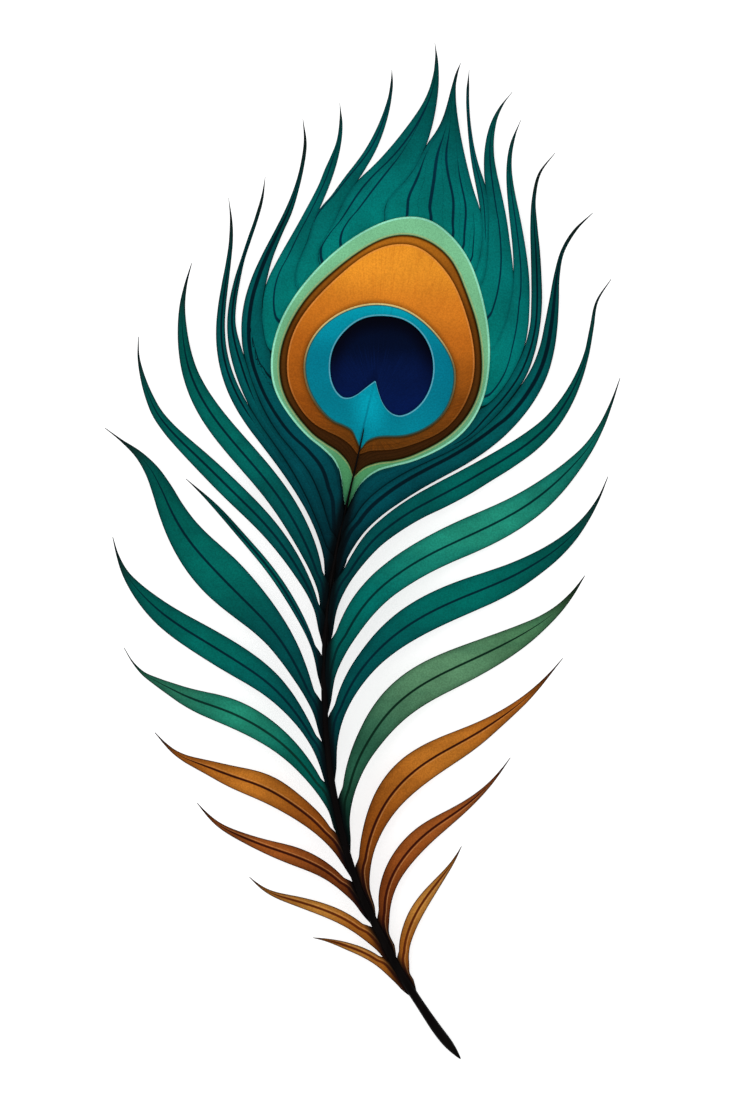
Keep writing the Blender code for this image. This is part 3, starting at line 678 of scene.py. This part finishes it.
def build_root_web(material):
    """The barbs' roots grow together beside the shaft: a thin sheet a little below their tops."""
    rows, columns = ROOT_WEB_GRID
    left, right = smooth_line(WEB_LEFT, rows), smooth_line(WEB_RIGHT, rows)
    t = np.linspace(0, 1, columns)[None, :, None]
    plan = left[:, None] * (1 - t) + right[:, None] * t
    level = np.minimum(node_heights(plan, WEB_UNDER) - 0.35, 1.6)
    level = np.minimum(level, 0.3 + np.maximum(rim_gap(plan), 0))
    level = np.maximum(level, 0.25)
    fields = plain_fields(level.shape, 0.04)
    fields["near"] = shaft_distance(np.concatenate([plan, level[..., None]], axis=-1))[0]
    web_solid("root_web", plan, level, fields, material)


def build_crown_web(material):
    """A thin ring that the crown's blades grow out of. By the shaft it is no wider than the rim."""
    count, columns = CROWN_WEB_GRID
    bearings = np.linspace(-math.pi, math.pi, count, endpoint=False)
    rim = radii_at(RIM_LOOP, bearings)[:, None]
    above = smoothstep(-0.85, -0.65, np.sin(bearings))[:, None]
    inner, width = -0.9, 5.9
    reach = rim + np.linspace(inner + width, inner, columns)[None, :]
    closed = rim + inner + width * above + 0.01 * np.linspace(1, 0, columns)[None, :]
    reach = np.minimum(reach, closed)
    level = np.full(reach.shape, 0.32)
    plan = around_eye(bearings, reach)
    web_solid("crown_web", plan, level, plain_fields(level.shape, 0.2), material, ring=True)


def build_blades():
    materials = {look: blade_material(look) for look in BLADE_LOOKS}
    for side, looks in (("left", LEFT_LOOKS), ("right", RIGHT_LOOKS)):
        for number, look in enumerate(looks, 1):
            build_blade(f"barb_{side}_{number:02}", MIDRIB, materials[look])
    for number, ribs in CROWN_RIBS.items():
        look = CROWN_LOOKS[number]
        build_blade(f"crown_barb_{number:02}", ribs, materials[look], crown=True)
    build_root_web(materials["deep"])
    build_crown_web(materials["crown"])


# ---------------------------------------------------------------- eye

def up_the_eye(tree, y, stops):
    """Colour by Y, from stops of millimetres and colours."""
    share = share_between(tree, y, EYE_LOW, EYE_HIGH)
    return ramp(tree, share, [((at - EYE_LOW) / (EYE_HIGH - EYE_LOW), colour) for at, colour in stops])


def ridged(tree, colour, edge, pitch, low, dark):
    """The colour with dark lines that run round the zone where the factor `low` is not 0."""
    ridges = calc(tree, "SINE", calc(tree, "MULTIPLY", edge, pitch))
    return blend(tree, calc(tree, "MULTIPLY", ease(tree, ridges, 0.3, 1.0), low), colour, linear(dark))


# Each zone's colour is worked out from x and y and from the distances to its outer and inner edge.

def rim_colour(tree, x, y, edge, inset):
    """Pale green, darker towards the point, with a painted highlight along the outer edge and painted shade
    along the inner one.
    """
    stops = [(20, (72, 138, 90)), (30, (92, 154, 114)), (50, (104, 166, 122)), (80, (116, 182, 136))]
    colour = up_the_eye(tree, y, stops)
    colour = blend(tree, ease(tree, y, 9.0, 20.0, 0.75, 0.0), colour, linear((20, 86, 62)))
    colour = blend(tree, stripe(tree, inset, 0.2, 0.5, 0.5), colour, linear((176, 168, 104)))
    # painted shade along the inner edge, where the rim steps down to the band
    colour = blend(tree, ease(tree, inset, 0.1, 0.25, 0.7, 0.0), colour, linear((50, 62, 20)))
    # painted highlight along the raised outer edge
    return blend(tree, stripe(tree, edge, 0.05, 0.5, 0.85), colour, linear((150, 226, 196)))


def band_colour(tree, x, y, edge, inset):
    """Brown, nearly black low down, with painted shade along both edges, where the band lies below the rim
    and the field.
    """
    stops = [(20, (48, 26, 6)), (30, (54, 28, 6)), (42, (74, 42, 10)), (56, (92, 50, 8)),
             (68, (130, 74, 16)), (79, (166, 98, 22))]
    colour = up_the_eye(tree, y, stops)
    colour = ridged(tree, colour, edge, 7.0, ease(tree, y, 24.0, 40.0, 0.4, 0.0), (26, 10, 0))
    # painted shade along both edges, where the band lies below the rim and the field
    colour = blend(tree, ease(tree, edge, 0.3, 0.9, 0.85, 0.0), colour, linear((28, 16, 0)))
    return blend(tree, ease(tree, inset, 0.2, 1.0, 0.5, 0.0), colour, linear((44, 20, 2)))


def field_colour(tree, x, y, edge, inset):
    """Orange, browner low down and to the left, with fine rays, a painted highlight along the outer edge and
    painted shade round the raised disc.
    """
    stops = [(20, (66, 36, 8)), (28, (88, 48, 10)), (36, (112, 58, 12)), (44, (146, 78, 18)),
             (52, (176, 96, 24)), (60, (198, 114, 30)), (72, (222, 140, 38))]
    colour = up_the_eye(tree, y, stops)
    colour = blend(tree, ease(tree, x, -18.0, 0.0, 0.35, 0.0), colour, linear((150, 74, 14)))
    rays = streaks_from(tree, x, y, (3.0, 30.0), 90.0)
    colour = blend(tree, ease(tree, rays, 0.45, 0.75, 0.0, 0.35), colour, linear((176, 92, 18)))
    colour = ridged(tree, colour, edge, 6.0, ease(tree, y, 24.0, 34.0, 0.35, 0.0), (40, 18, 0))
    # painted highlight along the raised outer edge, stronger higher up
    light = calc(tree, "MULTIPLY", stripe(tree, edge, 0.1, 0.4, 0.6), ease(tree, y, 30.0, 52.0, 0.15, 1.0))
    colour = blend(tree, light, colour, linear((216, 138, 70)))
    # painted shade round the raised blue disc
    return blend(tree, ease(tree, inset, 0.2, 1.6, 0.45, 0.0), colour, linear((96, 56, 14)))


def shaft_line_x(tree, y):
    """X of the shaft's line carried on from its end to the notch in the heart."""
    return calc(tree, "ADD", calc(tree, "MULTIPLY", calc(tree, "SUBTRACT", y, 31.0), 0.245), 0.2)


def disc_colour(tree, x, y, edge, inset):
    """Blue, with a glow and a fold below the notch, a painted highlight along the inner edge and a
    straw-coloured painted highlight along the outer one.
    """
    stops = [(28, (0, 122, 140)), (38, (0, 112, 130)), (48, (0, 114, 134)), (56, (0, 130, 150)),
             (62, (0, 146, 166))]
    colour = up_the_eye(tree, y, stops)
    colour = blend(tree, ease(tree, x, 10.0, 24.0, 0.0, 0.35), colour, linear((0, 92, 116)))
    away = distance_to(tree, calc(tree, "MULTIPLY", x, 1.5), y, (2.6, 37.0))
    colour = blend(tree, ease(tree, away, 0.0, 10.0, 0.85, 0.0), colour, linear((0, 152, 172)))
    across = calc(tree, "ABSOLUTE", calc(tree, "SUBTRACT", x, shaft_line_x(tree, y)))
    fold = calc(tree, "MULTIPLY", ease(tree, across, 0.1, 0.4, 0.7, 0.0), ease(tree, y, 30.0, 43.0, 1.0, 0.3))
    colour = blend(tree, fold, colour, linear((0, 92, 112)))
    # painted highlight along the inner edge, where the disc steps down to the heart
    colour = blend(tree, stripe(tree, inset, 0.1, 0.35, 0.8), colour, linear((104, 172, 190)))
    colour = blend(tree, stripe(tree, edge, 0.42, 0.7, 0.75), colour, linear((40, 56, 24)))
    # painted highlight along the outer edge, in straw colours that are lighter higher up
    straw = [(30, (60, 50, 26)), (44, (110, 96, 60)), (58, (196, 172, 110)), (66, (212, 186, 118))]
    return blend(tree, ease(tree, edge, 0.34, 0.5, 1.0, 0.0), colour, up_the_eye(tree, y, straw))


def heart_colour(tree, x, y, edge, inset):
    """Navy, black towards the top, with painted shade along the upper part of its edge below the raised disc,
    and rays that fan out from the notch.
    """
    stops = [(34, (2, 20, 68)), (44, (2, 17, 58)), (52, (0, 8, 34)), (60, (0, 2, 14))]
    colour = up_the_eye(tree, y, stops)
    rays = streaks_from(tree, x, y, (3.0, 36.0), 60.0)
    near = ease(tree, distance_to(tree, x, y, (3.0, 42.0)), 1.0, 14.0, 0.3, 0.0)
    rays = calc(tree, "MULTIPLY", ease(tree, rays, 0.5, 0.7), near)
    colour = blend(tree, rays, colour, linear((8, 36, 98)))
    # painted shade along the upper part of the edge, where the heart lies below the disc
    dark = calc(tree, "MULTIPLY", ease(tree, edge, 0.5, 5.0, 0.85, 0.0), ease(tree, y, 38.0, 52.0))
    return blend(tree, dark, colour, linear((0, 0, 8)))


EYE = {
    # node: slot, heights of the outer edge, middle and inner edge, roughness, colour
    "eye_rim": ("eye_green", (1.25, 1.2, 0.85), 0.6, rim_colour),
    "eye_band": ("eye_brown", (0.55, 0.5, 0.55), 0.6, band_colour),
    "eye_field": ("eye_orange", (0.8, 1.0, 0.75), 0.6, field_colour),
    "eye_disc": ("eye_blue", (1.0, 1.15, 0.95), 0.5, disc_colour),
    "eye_heart": ("eye_navy", (0.6, 0.7, 0.8), 0.5, heart_colour),
}


def eye_material(name, roughness, colour_of):
    material, tree, shader = new_material(name, roughness)
    colour = colour_of(tree, *place(tree), field(tree, "edge"), field(tree, "inset"))
    tree.links.new(grained(tree, colour, 0.12, 0.06), shader.inputs["Base Color"])
    bumped(tree, shader, noise(tree, 2600, 4.0))
    return material


def build_eye_zone(name, heights, material):
    """One zone of the eye: a ring between its edges, or a full disc, with rounded edges."""
    loops, _ = upper_loops(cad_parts[name], 0.9)
    loops = sorted((sharp_loop(loop, 1200) for loop in loops), key=lambda loop: -np.ptp(loop[:, 1]))
    hollow = len(loops) > 1
    out = np.concatenate([loop[::3, :2] for loop in loops]) - EYE_CENTRE
    bearings = np.unique(np.round(np.arctan2(out[:, 1], out[:, 0]), 4))
    outer = radii_at(grown(anticlockwise(loops[0]), EYE_GROWTH), bearings)[:, None]
    inner = np.full(outer.shape, 0.02)
    if hollow:
        inner = radii_at(grown(anticlockwise(loops[1]), -EYE_GROWTH), bearings)[:, None]
    t = (1 - np.cos(np.linspace(0, math.pi, EYE_STEPS)))[None, :] / 2
    reach = outer * (1 - t) + inner * t
    depth = outer - reach
    if hollow:
        depth = np.minimum(depth, reach - inner)
    level = np.interp(t, (0, 0.5, 1), heights) - 0.3 * (1 - smoothstep(0, 0.7, depth))
    top = np.concatenate([around_eye(bearings, reach), level[..., None]], axis=-1)
    bottom = top.copy()
    bottom[..., 2] = EYE_FLOOR
    obj = sheet_solid(f"{name}_look", top, bottom, {"edge": outer - reach, "inset": reach - inner}, ring=True)
    obj.data.materials.append(material)
    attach(obj, "root")
    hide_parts(name)


def build_eye():
    for name, (slot, heights, roughness, colour_of) in EYE.items():
        build_eye_zone(name, heights, eye_material(name, roughness, colour_of))


# ---------------------------------------------------------------- shaft

def build_shaft():
    """The CAD node itself, smoothed, in dark horn with fine streaks along it."""
    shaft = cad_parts["shaft"]
    weld = shaft.modifiers.new("weld", "WELD")
    weld.merge_threshold = 1e-6
    smooth = shaft.modifiers.new("smooth", "SUBSURF")
    smooth.levels = smooth.render_levels = 2
    material, tree, shader = new_material("shaft_horn", 0.38)
    streaks = noise(tree, 300, 3.0, (1.0, 0.15, 1.0))
    colour = blend(tree, ease(tree, streaks, 0.4, 0.8), linear((6, 4, 4)), linear((15, 12, 11)))
    tree.links.new(colour, shader.inputs["Base Color"])
    bumped(tree, shader, streaks)
    shaft.data.materials.clear()
    shaft.data.materials.append(material)


# ---------------------------------------------------------------- stage and camera

def build_stage():
    """A pale floor that glows a little, so that shadows stay faint, under white studio light."""
    bpy.ops.mesh.primitive_plane_add(size=3, location=(0, 0, LOW[2] - 0.0002))
    floor = bpy.context.object
    floor.name = "floor"
    material, _, shader = new_material("floor_paper", 0.9)
    shader.inputs["Base Color"].default_value = (0.5, 0.5, 0.5, 1)
    shader.inputs["Emission Color"].default_value = (1, 1, 1, 1)
    shader.inputs["Emission Strength"].default_value = 0.66
    floor.data.materials.append(material)
    world = bpy.context.scene.world or bpy.data.worlds.new("studio")
    bpy.context.scene.world = world
    world.use_nodes = True
    background = world.node_tree.nodes["Background"]
    background.inputs["Color"].default_value = (1, 1, 1, 1)
    background.inputs["Strength"].default_value = 0.95
    lamp = bpy.data.lights.new("softbox", "AREA")
    lamp.shape = "DISK"
    lamp.size = 0.9
    lamp.energy = 3.2
    softbox = bpy.data.objects.new("softbox", lamp)
    softbox.location = (-0.35, 0.45, 1.1)
    softbox.rotation_euler = (-softbox.location).to_track_quat("-Z", "Y").to_euler()
    bpy.context.scene.collection.objects.link(softbox)


def build_camera():
    """A long lens straight above, so that the feather shows almost without perspective."""
    data = bpy.data.cameras.new("camera")
    data.lens = LENS
    data.sensor_fit = "VERTICAL"
    data.sensor_height = SENSOR
    data.clip_end = 10
    camera = bpy.data.objects.new("camera", data)
    camera.location = (*VIEW_CENTRE, HALF_VIEW / (SENSOR / 2) * LENS)
    bpy.context.scene.collection.objects.link(camera)
    bpy.context.scene.camera = camera
    bpy.context.scene.view_settings.view_transform = "Standard"


def write_size():
    """Brings the view layer up to date."""
    bpy.context.view_layer.update()


build_blades()
build_eye()
build_shaft()
build_stage()
build_camera()
write_size()
